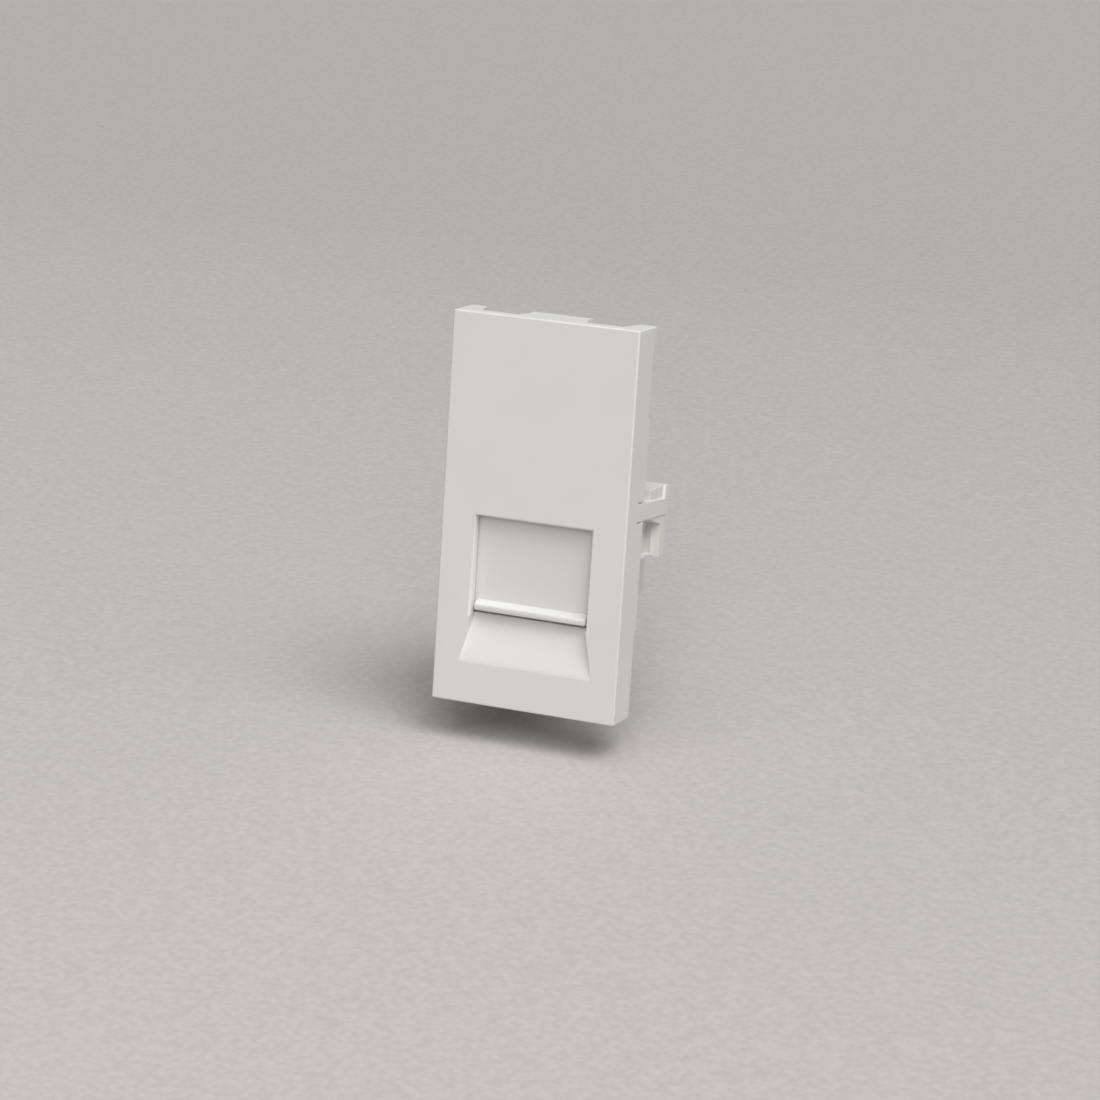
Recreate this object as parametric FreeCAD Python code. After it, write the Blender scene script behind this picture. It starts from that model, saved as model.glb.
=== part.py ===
import FreeCAD, Part
import math
import os

V = FreeCAD.Vector

# Telephone socket module, one module wide, of a 45 mm wiring-accessory system.
# Millimetres. X to the right, Y into the wall, Z up. Origin at the centre of the front face.

# Front plate
PLATE_W = 22.5
PLATE_H = 45.0
WEB_T = 1.8
WALL_T = 1.7
SKIRT_D = 5.05
EDGE_R = 0.2

# Relieved stretches of the side walls' rear edges
RELIEF_D = 0.45
LOW_RELIEF_H = 10.2
HIGH_RELIEF_H = 7.5
TOP_CORNER_H = 3.0
LIP_T = 0.7

# Latch tabs in the middle of the top and bottom edges, and slanted webs at their roots and in the corners
TAB_W = 7.2
TAB_T = 1.2
TAB_D = 5.2
TAB_ROOT = 0.6
TAB_ROOT_L = 1.6
CORNER_ROOT = 1.05
CORNER_TIP = 0.25

# Window and the finger ramp below it
WINDOW_W = 14.2
WINDOW_H = 11.5
WINDOW_DROP = 0.6
WINDOW_R = 0.3
RAMP_H = 5.6
RAMP_D = 1.6
RAMP_FOOT_W = 16.5
RAMP_R = 3.5
RAMP_ROLL_OUT = 0.02
PAD_RIM = 0.8

# Shutter, its grip rib and its guides
SHUTTER_T = 1.4
SHUTTER_SIDE_LAP = 0.6
SHUTTER_TOP_LAP = 1.4
SLIDE_GAP = 0.3
CLOSED_GAP = 0.45
OPEN_GAP = 0.15
CHANNEL_D = 0.7
RAIL_W = 0.85
RIB_H = 0.7
RIB_PROUD = 1.0
RIB_BEVEL = 0.45
RIB_SIDE_GAP = 0.25

# Closing springs and the ledge that they push against
SPRING_IN = 2.7
SPRING_R = 0.8
SPRING_WIRE_R = 0.125
SPRING_TURNS = 12
SPRING_SIDE_GAP = 0.2
SPRING_END_GAP = 0.02
POCKET_D = 1.0
LEDGE_DROP = 5.5
LEDGE_T = 1.2

# Carrier: guide plate behind the shutter
GUIDE_T = 1.4
GUIDE_GAP = 0.3
GUIDE_TOP_DROP = 2.3
GUIDE_FOOT = 1.8

# Carrier: cheeks, and the side arms in the slots of the plate's side walls
CHEEK_T = 1.25
CHEEK_SKIN = 1.0
CHEEK_END = 12.9
CHEEK_TOP = 3.4
CHEEK_BOTTOM = -4.9
ARM_BOTTOM = 0.42
ARM_H = 2.08
ARM_FLUSH_GAP = 0.05
ARM_BOTTOM_DROP = 0.42
ARM_TOP_DROP = 0.65
SLOT_FRONT = 3.2
SLOT_GAP = 0.2
PANEL_IN = 0.3
PANEL_FRONT = 7.75
RECESS_IN = 1.7
POST_W = 1.0
FOOT_POST_W = 1.7
FOOT_POST_IN = 0.12
SILL_H = 0.4
SILL_IN = 1.1
GUSSET_H = 1.0
GUSSET_L = 4.6
FIN_IN = 1.0
FIN_W = 0.15
FIN_PROUD = 0.25

# Hooks of the plate that catch the guide plate's top and bottom edges
HOOK_IN = 3.05
HOOK_W = 2.5
HOOK_T = 0.8
HOOK_NIB = 0.45
HOOK_L = 0.9
HOOK_GAP = 0.12

# Six-position jack
JACK_W = 14.0
JACK_TOP = 0.65
JACK_H = 11.4
JACK_D = 15.0
JACK_GAP = 0.15
JACK_CHAMFER = 0.5
ROOF_T = 2.6
CAVITY_W = 9.8
CAVITY_H = 6.8
CAVITY_D = 12.15
LATCH_W = 6.3
LATCH_H = 1.35
LATCH_NECK_W = 3.5
LATCH_NECK_H = 0.8
LATCH_NECK_D = 1.7
PEG_IN = 2.0
PEG_Y = 10.0
PEG_R = 1.0
PEG_GAP = 0.1

# Contact wires and the comb that guides their free ends
CONTACTS = 4
CONTACT_PITCH = 1.02
WIRE_R = 0.225
WIRE_GAP = 0.13
WIRE_DEPTH = 1.3
HAIRPIN_R = 0.55
HAIRPIN_Y = 5.3
CONTACT_ANGLE = 18.0
CONTACT_L = 8.3
TAIL_ROW_Y = 14.2
TAIL_ROW_STEP = 2.5
TAIL_UP = 0.75
TAIL_BEND_R = 0.5
COMB_D = 3.05
COMB_H = 4.35
COMB_SLOT_D = 1.8
COMB_GAP = 0.1
SOLDER_R = 0.8
SOLDER_TIP_R = 0.32
SOLDER_H = 0.5

# Circuit board
BOARD_T = 1.2
BOARD_GAP = 0.1
BOARD_BITE = 0.6
BOARD_STOP = 0.8
BOARD_TAIL_IN = 0.6
BOARD_TAIL_END = 18.0
HOLE_GAP = 0.15

# Screw terminals
BLOCK_SIDE_GAP = 0.5
BLOCK_RIM = 0.5
BLOCK_H = 8.5
BLOCK_FRONT = 5.2
BLOCK_D = 7.0
BLOCK_CHAMFER = 1.0
POLE_WALL = 0.5
SCREW_Y = 8.8
CAGE_D = 3.2
CAGE_H = 4.0
CAGE_FLOOR = 0.5
CAGE_SIDE_T = 0.35
CAGE_CROWN = 1.0
CAGE_GAP = 0.15
CAGE_TRAVEL = 1.6
BAR_SIDE_GAP = 0.4
BAR_T = 0.5
BAR_STEP_W = 0.1
BAR_BELOW = 0.3
BAR_GAP = 0.15
SOLDER_RELIEF = 0.3
SCREW_GAP = 0.1
HEAD_H = 1.4
HEAD_GAP = 0.15
HEAD_WALL = 0.6
DRIVER_SLOT_W = 0.4
DRIVER_SLOT_D = 0.6
LID_T = 0.8
LID_LAP = 0.15
ENTRY_SIDE_GAP = 0.15
ENTRY_H = 2.3
ENTRY_FLARE = 0.35

# Overlap that joins solids of one moulding, the overrun of a cut, and the slack in picking edges
MERGE = 0.2
OVERRUN = 1.0
PICK_SLACK = 1e-4

# Places worked out from the sizes above
HALF_W = PLATE_W / 2
HALF_H = PLATE_H / 2
WALL_IN = HALF_W - WALL_T
WINDOW_TOP = -WINDOW_DROP
WINDOW_BOTTOM = WINDOW_TOP - WINDOW_H
CHANNEL_FLOOR = WEB_T - CHANNEL_D
SHUTTER_FRONT = CHANNEL_FLOOR + SLIDE_GAP
SHUTTER_REAR = SHUTTER_FRONT + SHUTTER_T
SHUTTER_HALF = WINDOW_W / 2 + SHUTTER_SIDE_LAP
SHUTTER_TOP = WINDOW_TOP + SHUTTER_TOP_LAP
SHUTTER_BOTTOM = WINDOW_BOTTOM + CLOSED_GAP
RIB_TOP = SHUTTER_BOTTOM + RIB_H + RIB_BEVEL
SHUTTER_TRAVEL = WINDOW_TOP - OPEN_GAP - RIB_TOP
CHANNEL_HALF = SHUTTER_HALF + SLIDE_GAP
SPRING_X = SHUTTER_HALF - SPRING_IN
SPRING_Y = (SHUTTER_FRONT + SHUTTER_REAR) / 2
LEDGE_Z = HALF_H - LEDGE_DROP
GUIDE_FRONT = SHUTTER_REAR + SLIDE_GAP
GUIDE_REAR = GUIDE_FRONT + GUIDE_T
GUIDE_HALF = WALL_IN - GUIDE_GAP
HOOK_X = GUIDE_HALF - HOOK_IN
GUIDE_TOP = HALF_H - GUIDE_TOP_DROP
GUIDE_BOTTOM = WINDOW_BOTTOM - GUIDE_FOOT
GUIDE_CLEAR = GUIDE_FRONT - SLIDE_GAP / 2
PAD_HALF = RAMP_FOOT_W / 2 + PAD_RIM
PAD_BOTTOM = WINDOW_BOTTOM - RAMP_H - PAD_RIM
CHEEK_IN = GUIDE_HALF - CHEEK_T
ARM_OUT = HALF_W - ARM_FLUSH_GAP
ARM_TOP = ARM_BOTTOM + ARM_H
ARM_FRONT = SLOT_FRONT + SLOT_GAP
BEHIND_WALL = SKIRT_D + GUIDE_GAP
JACK_FRONT = GUIDE_FRONT
JACK_REAR = JACK_FRONT + JACK_D
JACK_BOTTOM = JACK_TOP - JACK_H
PEG_X = JACK_W / 2 - PEG_IN
CAVITY_TOP = JACK_TOP - ROOF_T
CAVITY_BOTTOM = CAVITY_TOP - CAVITY_H
CAVITY_REAR = JACK_FRONT + CAVITY_D
LATCH_BOTTOM = CAVITY_BOTTOM - LATCH_H
WIRE_Z = JACK_TOP - WIRE_DEPTH
WIRE_SLOT = WIRE_R + WIRE_GAP
BOARD_BOTTOM = JACK_TOP
BOARD_TOP = BOARD_BOTTOM + BOARD_T
BOARD_FRONT = GUIDE_REAR + BOARD_GAP
BOARD_HALF = CHEEK_IN + BOARD_BITE
BOARD_SHOULDER = CHEEK_END - BOARD_STOP
BOARD_TAIL_HALF = JACK_W / 2 - BOARD_TAIL_IN
BLOCK_HALF = CHEEK_IN - BLOCK_SIDE_GAP
POLE_PITCH = 2 * (BLOCK_HALF - BLOCK_RIM) / CONTACTS
BLOCK_REAR = BLOCK_FRONT + BLOCK_D
BLOCK_TOP = BOARD_TOP + BLOCK_H
CAGE_W = POLE_PITCH - POLE_WALL - 2 * CAGE_GAP
WIRE_ROOM_W = CAGE_W - 2 * CAGE_SIDE_T
CAGE_BOTTOM = BOARD_TOP + CAGE_GAP
CAGE_TOP = CAGE_BOTTOM + CAGE_H
BAR_W = WIRE_ROOM_W - 2 * BAR_SIDE_GAP
BAR_LEG_W = BAR_W - 2 * BAR_STEP_W
BAR_TOP = CAGE_TOP - CAGE_CROWN - SCREW_GAP
BAR_BOTTOM = BAR_TOP - BAR_T
BAR_FRONT = SCREW_Y - CAGE_D / 2 - CAGE_GAP - BAR_GAP - 2 * BAR_T
POLE_ROOM_TOP = CAGE_TOP + CAGE_TRAVEL + CAGE_GAP
SCREW_R = WIRE_ROOM_W / 2 - CAGE_GAP
HEAD_R = (POLE_PITCH - HEAD_WALL) / 2 - HEAD_GAP
HEAD_BOTTOM = POLE_ROOM_TOP + SCREW_GAP
HEAD_ROOM_TOP = BLOCK_TOP - LID_T
LID_HOLE_R = HEAD_R - LID_LAP
ENTRY_W = WIRE_ROOM_W + 2 * ENTRY_SIDE_GAP


def box(x0, x1, y0, y1, z0, z1):
    return Part.makeBox(x1 - x0, y1 - y0, z1 - z0, V(x0, y0, z0))


def mirrored_pair(shape):
    """A shape and its mirror image across the module's middle plane."""
    return [shape, shape.mirror(V(0, 0, 0), V(1, 0, 0))]


def prism_x(points, x0, x1):
    """A solid with a (y, z) outline, running from x0 to x1."""
    corners = [V(x0, y, z) for y, z in points]
    face = Part.Face(Part.makePolygon(corners + corners[:1]))
    return face.extrude(V(x1 - x0, 0, 0))


def prism_z(points, z0, z1):
    """A solid with an (x, y) outline, running from z0 to z1."""
    corners = [V(x, y, z0) for x, y in points]
    face = Part.Face(Part.makePolygon(corners + corners[:1]))
    return face.extrude(V(0, 0, z1 - z0))


def fuse_all(shapes):
    joined = shapes[0].multiFuse(shapes[1:])
    return joined.removeSplitter()


def cut_all(shape, tools):
    return shape.cut(tools).removeSplitter()


def single(shape):
    """The bare solid, where joins and cuts have left just one."""
    if len(shape.Solids) == 1:
        return shape.Solids[0]
    return shape


def spread(count, pitch):
    """Places of evenly spaced copies about the middle plane."""
    return [(i - (count - 1) / 2) * pitch for i in range(count)]


def edges_on(shape, axis, value):
    """Edges that lie wholly in a plane across one axis (0, 1 or 2)."""
    found = []
    for edge in shape.Edges:
        bounds = edge.BoundBox
        low = (bounds.XMin, bounds.YMin, bounds.ZMin)[axis]
        high = (bounds.XMax, bounds.YMax, bounds.ZMax)[axis]
        if abs(low - value) < PICK_SLACK and abs(high - value) < PICK_SLACK:
            found.append(edge)
    return found


def swept(path_edges, radius, start, direction):
    """A round rod along a path of tangent edges."""
    ring = Part.Wire(Part.makeCircle(radius, start, direction))
    return Part.Wire(path_edges).makePipeShell([ring], True, False)


# Front plate: web, side walls, tabs, ramp pad, shutter guides and hooks
def plate_shell():
    block = box(-HALF_W, HALF_W, 0, SKIRT_D, -HALF_H, HALF_H)
    corners = [e for e in block.Edges if abs(e.BoundBox.YLength - SKIRT_D) < PICK_SLACK]
    block = block.makeFillet(EDGE_R, edges_on(block, 1, 0.0) + corners)
    inside = box(-WALL_IN, WALL_IN, WEB_T, SKIRT_D + OVERRUN, -PLATE_H, PLATE_H)
    return block.cut(inside)


def latch_tab():
    """The top tab, wider at its root."""
    half = TAB_W / 2
    root = WEB_T - MERGE
    plan = [(-half - TAB_ROOT, root), (-half - TAB_ROOT, WEB_T), (-half, WEB_T + TAB_ROOT_L), (-half, TAB_D)]
    plan += [(half, TAB_D), (half, WEB_T + TAB_ROOT_L), (half + TAB_ROOT, WEB_T), (half + TAB_ROOT, root)]
    return prism_z(plan, HALF_H - TAB_T, HALF_H)


def corner_web():
    """Slanted web in the top right corner, above the guide plate."""
    plan = [(WALL_IN + MERGE, WEB_T - MERGE), (WALL_IN - CORNER_ROOT, WEB_T - MERGE)]
    plan += [(WALL_IN - CORNER_ROOT, WEB_T), (WALL_IN - CORNER_TIP, SKIRT_D), (WALL_IN + MERGE, SKIRT_D)]
    return prism_z(plan, GUIDE_TOP + GUIDE_GAP, HALF_H)


def guide_hook(edge_z, side):
    """A snap hook past the guide plate's top (side 1) or bottom (side -1) edge."""
    root = edge_z + side * HOOK_GAP
    back = root + side * HOOK_T
    catch = GUIDE_REAR + HOOK_GAP
    tip = catch + HOOK_L
    nib = edge_z - side * HOOK_NIB
    outline = [(WEB_T - MERGE, root), (WEB_T - MERGE, back), (tip, back)]
    outline += [(tip, root), (catch, nib), (catch, root)]
    return prism_x(outline, HOOK_X - HOOK_W / 2, HOOK_X + HOOK_W / 2)


def ramp_cut():
    """Recess of the finger ramp: flared sides and a foot that rolls out into the face."""
    slope = math.atan2(RAMP_D, RAMP_H)
    foot = WINDOW_BOTTOM - RAMP_H - RAMP_R * math.tan(slope / 2)
    centre = V(0, RAMP_R - RAMP_ROLL_OUT, foot)
    middle = V(0, centre.y - RAMP_R * math.cos(slope / 2), foot + RAMP_R * math.sin(slope / 2))
    join = V(0, centre.y - RAMP_R * math.cos(slope), foot + RAMP_R * math.sin(slope))
    deep = V(0, RAMP_D, WINDOW_BOTTOM)
    roof = V(0, RAMP_D, WINDOW_BOTTOM + MERGE)
    out_top = V(0, -OVERRUN, WINDOW_BOTTOM + MERGE)
    out_foot = V(0, -OVERRUN, foot)
    edges = [Part.Arc(V(0, -RAMP_ROLL_OUT, foot), middle, join).toShape()]
    corners = [join, deep, roof, out_top, out_foot, V(0, -RAMP_ROLL_OUT, foot)]
    for start, end in zip(corners, corners[1:]):
        edges.append(Part.LineSegment(start, end).toShape())
    profile = Part.Face(Part.Wire(edges)).extrude(V(2 * HALF_W, 0, 0))
    profile.translate(V(-HALF_W, 0, 0))
    top_half = WINDOW_W / 2
    foot_half = RAMP_FOOT_W / 2
    plan = [V(-top_half, 0, WINDOW_BOTTOM + MERGE), V(top_half, 0, WINDOW_BOTTOM + MERGE)]
    plan += [V(top_half, 0, WINDOW_BOTTOM), V(foot_half, 0, foot)]
    plan += [V(-foot_half, 0, foot), V(-top_half, 0, WINDOW_BOTTOM)]
    sides = Part.Face(Part.makePolygon(plan + plan[:1])).extrude(V(0, RAMP_D + 2 * OVERRUN, 0))
    sides.translate(V(0, -OVERRUN, 0))
    return profile.common(sides)


def wall_cuts():
    """Arm slot and relieved rear edges of the right side wall."""
    slot = box(WALL_IN - MERGE, HALF_W + OVERRUN, SLOT_FRONT, SKIRT_D + OVERRUN,
               ARM_BOTTOM - SLOT_GAP, ARM_TOP + SLOT_GAP)
    rear = SKIRT_D - RELIEF_D
    low = box(WALL_IN - MERGE, HALF_W + OVERRUN, rear, SKIRT_D + OVERRUN,
              -HALF_H - OVERRUN, LOW_RELIEF_H - HALF_H)
    high_top = HALF_H - TOP_CORNER_H
    high = box(WALL_IN + LIP_T, HALF_W + OVERRUN, rear, SKIRT_D + OVERRUN,
               high_top - HIGH_RELIEF_H, high_top)
    return [slot, low, high]


def front_plate():
    plate = plate_shell()
    window = box(-WINDOW_W / 2, WINDOW_W / 2, -OVERRUN, WEB_T + OVERRUN, WINDOW_BOTTOM, WINDOW_TOP)
    plate = plate.cut(window)
    inside_rim = []
    for edge in edges_on(plate, 1, 0.0):
        if edge.BoundBox.XMax < WINDOW_W / 2 + MERGE and edge.BoundBox.XMin > -WINDOW_W / 2 - MERGE:
            if edge.BoundBox.ZMin > WINDOW_BOTTOM - MERGE and edge.BoundBox.ZMax < WINDOW_TOP + MERGE:
                inside_rim.append(edge)
    plate = plate.makeFillet(WINDOW_R, inside_rim)
    pad = box(-PAD_HALF, PAD_HALF, WEB_T - MERGE, GUIDE_CLEAR, PAD_BOTTOM, WINDOW_BOTTOM)
    ledge = box(-CHANNEL_HALF - RAIL_W, CHANNEL_HALF + RAIL_W, WEB_T - MERGE, GUIDE_CLEAR,
                LEDGE_Z, LEDGE_Z + LEDGE_T)
    rail = box(CHANNEL_HALF, CHANNEL_HALF + RAIL_W, WEB_T - MERGE, GUIDE_CLEAR,
               WINDOW_BOTTOM, LEDGE_Z + LEDGE_T)
    tab = latch_tab()
    additions = [pad, ledge, tab, tab.mirror(V(0, 0, 0), V(0, 0, 1))]
    for web in mirrored_pair(corner_web()):
        additions += [web, web.mirror(V(0, 0, 0), V(0, 0, 1))]
    additions += mirrored_pair(rail)
    additions += mirrored_pair(guide_hook(GUIDE_TOP, 1))
    additions += mirrored_pair(guide_hook(GUIDE_BOTTOM, -1))
    plate = fuse_all([plate] + additions)
    channel = box(-CHANNEL_HALF, CHANNEL_HALF, CHANNEL_FLOOR, WEB_T + MERGE, WINDOW_BOTTOM, LEDGE_Z)
    cuts = [channel, ramp_cut()]
    for tool in wall_cuts():
        cuts += mirrored_pair(tool)
    return single(cut_all(plate, cuts))


# Shutter: a flat slide with a grip rib, and two pockets for the closing springs
def shutter():
    slide = box(-SHUTTER_HALF, SHUTTER_HALF, SHUTTER_FRONT, SHUTTER_REAR, SHUTTER_BOTTOM, SHUTTER_TOP)
    front = SHUTTER_FRONT - RIB_PROUD
    face_top = SHUTTER_BOTTOM + RIB_H
    outline = [(SHUTTER_FRONT + MERGE, SHUTTER_BOTTOM), (front, SHUTTER_BOTTOM), (front, face_top)]
    outline += [(SHUTTER_FRONT, RIB_TOP), (SHUTTER_FRONT + MERGE, RIB_TOP)]
    rib_half = WINDOW_W / 2 - RIB_SIDE_GAP
    rib = prism_x(outline, -rib_half, rib_half)
    pocket_half = SPRING_R + SPRING_SIDE_GAP
    pocket = box(SPRING_X - pocket_half, SPRING_X + pocket_half, SHUTTER_FRONT - OVERRUN,
                 SHUTTER_REAR + OVERRUN, SHUTTER_TOP - POCKET_D, SHUTTER_TOP + OVERRUN)
    return single(cut_all(fuse_all([slide, rib]), mirrored_pair(pocket)))


def closing_spring(x):
    """A coil from the shutter's pocket up to the ledge, at its length with the shutter closed."""
    foot = SHUTTER_TOP - POCKET_D + SPRING_WIRE_R + SPRING_END_GAP
    height = LEDGE_Z - SPRING_WIRE_R - SPRING_END_GAP - foot
    coil_r = SPRING_R - SPRING_WIRE_R
    pitch = height / SPRING_TURNS
    helix = Part.makeHelix(pitch, height, coil_r)
    tangent = V(0, 2 * math.pi * coil_r, pitch)
    ring = Part.Wire(Part.makeCircle(SPRING_WIRE_R, V(coil_r, 0, 0), tangent))
    coil = Part.Wire(helix.Edges).makePipeShell([ring], True, True)
    coil.translate(V(x, SPRING_Y, foot))
    return single(coil)


# Carrier: guide plate, cheeks with side arms, and grooves for the circuit board
def cheek_parts():
    """Solids of the right cheek."""
    recess_x = ARM_OUT - RECESS_IN
    panel_x = ARM_OUT - PANEL_IN
    arm_end_top = ARM_TOP - ARM_TOP_DROP
    arm_end_bottom = ARM_BOTTOM - ARM_BOTTOM_DROP
    wall = box(CHEEK_IN, GUIDE_HALF, GUIDE_FRONT, CHEEK_END, CHEEK_BOTTOM, CHEEK_TOP)
    lower = box(GUIDE_HALF - MERGE, recess_x, BEHIND_WALL, CHEEK_END, CHEEK_BOTTOM, arm_end_top)
    panel = box(GUIDE_HALF - MERGE, panel_x, PANEL_FRONT, CHEEK_END, arm_end_top - MERGE, CHEEK_TOP)
    arm_outline = [(ARM_FRONT, ARM_BOTTOM), (ARM_FRONT, ARM_TOP)]
    arm_outline += [(CHEEK_END, arm_end_top), (CHEEK_END, arm_end_bottom)]
    arm = prism_x(arm_outline, GUIDE_HALF - MERGE, ARM_OUT)
    rim = box(recess_x - MERGE, ARM_OUT, CHEEK_END - POST_W, CHEEK_END, arm_end_bottom, CHEEK_TOP)
    post_front = CHEEK_END - FOOT_POST_W
    post_x = ARM_OUT - FOOT_POST_IN
    post = box(recess_x - MERGE, post_x, post_front, CHEEK_END, CHEEK_BOTTOM, ARM_BOTTOM)
    sill = box(recess_x - MERGE, ARM_OUT - SILL_IN, BEHIND_WALL, CHEEK_END,
               CHEEK_BOTTOM, CHEEK_BOTTOM + SILL_H)
    gusset_outline = [(post_front + MERGE, ARM_BOTTOM), (post_front + MERGE, arm_end_bottom - GUSSET_H)]
    gusset_outline += [(post_front, arm_end_bottom - GUSSET_H), (post_front - GUSSET_L, ARM_BOTTOM)]
    gusset = prism_x(gusset_outline, recess_x - MERGE, post_x)
    fin_x = ARM_OUT - FIN_IN
    fin = box(fin_x - FIN_W, fin_x, post_front - FIN_PROUD, post_front + MERGE,
              CHEEK_BOTTOM + SILL_H / 2, arm_end_bottom - GUSSET_H)
    return [wall, lower, panel, arm, rim, post, sill, gusset, fin]


def board_snap():
    """Wedge in the groove, behind the board's shoulder."""
    catch = BOARD_SHOULDER + BOARD_GAP
    groove_x = BOARD_HALF + BOARD_GAP
    foot = BOARD_BOTTOM - MERGE
    corners = [V(groove_x + MERGE, catch, foot), V(CHEEK_IN + BOARD_GAP, catch, foot)]
    corners += [V(groove_x + MERGE, CHEEK_END, foot)]
    face = Part.Face(Part.makePolygon(corners + corners[:1]))
    return face.extrude(V(0, 0, BOARD_T + 2 * MERGE))


def carrier():
    guide = box(-GUIDE_HALF, GUIDE_HALF, GUIDE_FRONT, GUIDE_REAR, GUIDE_BOTTOM, GUIDE_TOP)
    solids = [guide]
    for piece in cheek_parts():
        solids += mirrored_pair(piece)
    holder = fuse_all(solids)
    jack_half = JACK_W / 2 + JACK_GAP
    jack_hole = box(-jack_half, jack_half, GUIDE_FRONT - OVERRUN, CHEEK_END + OVERRUN,
                    JACK_BOTTOM - JACK_GAP, JACK_TOP + JACK_GAP)
    groove_half = BOARD_HALF + BOARD_GAP
    groove = box(-groove_half, groove_half, GUIDE_REAR, CHEEK_END + OVERRUN,
                 BOARD_BOTTOM - BOARD_GAP, BOARD_TOP + BOARD_GAP)
    core_x = ARM_OUT - RECESS_IN - CHEEK_SKIN
    core = box(CHEEK_IN - MERGE, core_x, BEHIND_WALL, CHEEK_END - FOOT_POST_W,
               CHEEK_BOTTOM + SILL_H, BOARD_BOTTOM - CHEEK_SKIN / 2)
    holder = cut_all(holder, [jack_hole, groove] + mirrored_pair(core))
    return single(fuse_all([holder] + mirrored_pair(board_snap())))


# Jack: housing, contact wires and comb
def tail_row(index):
    """Y of a contact's tail: the tails stand in two rows."""
    return TAIL_ROW_Y + TAIL_ROW_STEP * (index % 2)


def jack_housing():
    body = box(-JACK_W / 2, JACK_W / 2, JACK_FRONT, JACK_REAR, JACK_BOTTOM, JACK_TOP)
    foot_edges = [e for e in edges_on(body, 1, JACK_REAR) if e.BoundBox.ZMax < JACK_BOTTOM + MERGE]
    body = body.makeChamfer(JACK_CHAMFER, foot_edges)
    pegs = []
    for x in (-PEG_X, PEG_X):
        pegs.append(Part.makeCylinder(PEG_R, BOARD_T - BOARD_GAP + MERGE, V(x, PEG_Y, JACK_TOP - MERGE)))
    body = fuse_all([body] + pegs)
    cavity = box(-CAVITY_W / 2, CAVITY_W / 2, JACK_FRONT - OVERRUN, CAVITY_REAR, CAVITY_BOTTOM, CAVITY_TOP)
    neck_top = LATCH_BOTTOM + LATCH_NECK_H
    latch = box(-LATCH_W / 2, LATCH_W / 2, JACK_FRONT - OVERRUN, CAVITY_REAR,
                neck_top, CAVITY_BOTTOM + MERGE)
    neck = box(-LATCH_NECK_W / 2, LATCH_NECK_W / 2, JACK_FRONT - OVERRUN, CAVITY_REAR,
               LATCH_BOTTOM, CAVITY_BOTTOM)
    keeper = box(-LATCH_W / 2, LATCH_W / 2, JACK_FRONT + LATCH_NECK_D, CAVITY_REAR,
                 LATCH_BOTTOM, CAVITY_BOTTOM)
    cuts = [cavity, latch, neck, keeper]
    for index, x in enumerate(spread(CONTACTS, CONTACT_PITCH)):
        end = tail_row(index) + WIRE_SLOT
        front = HAIRPIN_Y - HAIRPIN_R - WIRE_R - WIRE_GAP
        cuts.append(box(x - WIRE_SLOT, x + WIRE_SLOT, front, end, CAVITY_TOP - MERGE, WIRE_Z + WIRE_SLOT))
        cuts.append(box(x - WIRE_SLOT, x + WIRE_SLOT, end - 2 * WIRE_SLOT, end, WIRE_Z, JACK_TOP + OVERRUN))
    relief_front = BAR_FRONT - BAR_T
    cuts.append(box(-JACK_W, JACK_W, relief_front, BAR_FRONT + 2 * BAR_T,
                    JACK_TOP - BAR_BELOW - SOLDER_RELIEF, JACK_TOP + OVERRUN))
    return single(cut_all(body, cuts))


def contact_wire(index, x):
    """One bent wire: tail through the board, run along the roof, hairpin, sprung contact."""
    tail_y = tail_row(index)
    top = V(x, tail_y, BOARD_TOP + TAIL_UP)
    bend_start = V(x, tail_y, WIRE_Z + TAIL_BEND_R)
    bend_end = V(x, tail_y - TAIL_BEND_R, WIRE_Z)
    diagonal = TAIL_BEND_R * (1 - math.sqrt(0.5))
    bend_middle = V(x, tail_y - diagonal, WIRE_Z + diagonal)
    centre = V(x, HAIRPIN_Y, WIRE_Z - HAIRPIN_R)
    angle = math.radians(CONTACT_ANGLE)
    turn_start = V(x, HAIRPIN_Y, WIRE_Z)
    turn_middle = centre + V(0, -HAIRPIN_R, 0)
    turn_end = centre + V(0, -HAIRPIN_R * math.sin(angle), -HAIRPIN_R * math.cos(angle))
    tip = turn_end + V(0, CONTACT_L * math.cos(angle), -CONTACT_L * math.sin(angle))
    edges = [
        Part.LineSegment(top, bend_start).toShape(),
        Part.Arc(bend_start, bend_middle, bend_end).toShape(),
        Part.LineSegment(bend_end, turn_start).toShape(),
        Part.Arc(turn_start, turn_middle, turn_end).toShape(),
        Part.LineSegment(turn_end, tip).toShape(),
    ]
    return single(swept(edges, WIRE_R, top, V(0, 0, -1)))


def contact_comb():
    half = CAVITY_W / 2 - COMB_GAP
    rear = CAVITY_REAR - COMB_GAP / 2
    top = CAVITY_TOP - COMB_GAP
    comb = box(-half, half, rear - COMB_D, rear, top - COMB_H, top)
    slots = []
    for x in spread(CONTACTS, CONTACT_PITCH):
        slots.append(box(x - WIRE_SLOT, x + WIRE_SLOT, rear - COMB_D - OVERRUN, rear - COMB_D + COMB_SLOT_D,
                         top - COMB_H - OVERRUN, top + OVERRUN))
    return single(cut_all(comb, slots))


def solder_joints():
    joints = []
    for index, x in enumerate(spread(CONTACTS, CONTACT_PITCH)):
        foot = V(x, tail_row(index), BOARD_TOP)
        cone = Part.makeCone(SOLDER_R, SOLDER_TIP_R, SOLDER_H, foot)
        joints.append(cone.cut(Part.makeCylinder(WIRE_R, SOLDER_H, foot)).Solids[0])
    return Part.makeCompound(joints)


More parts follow.
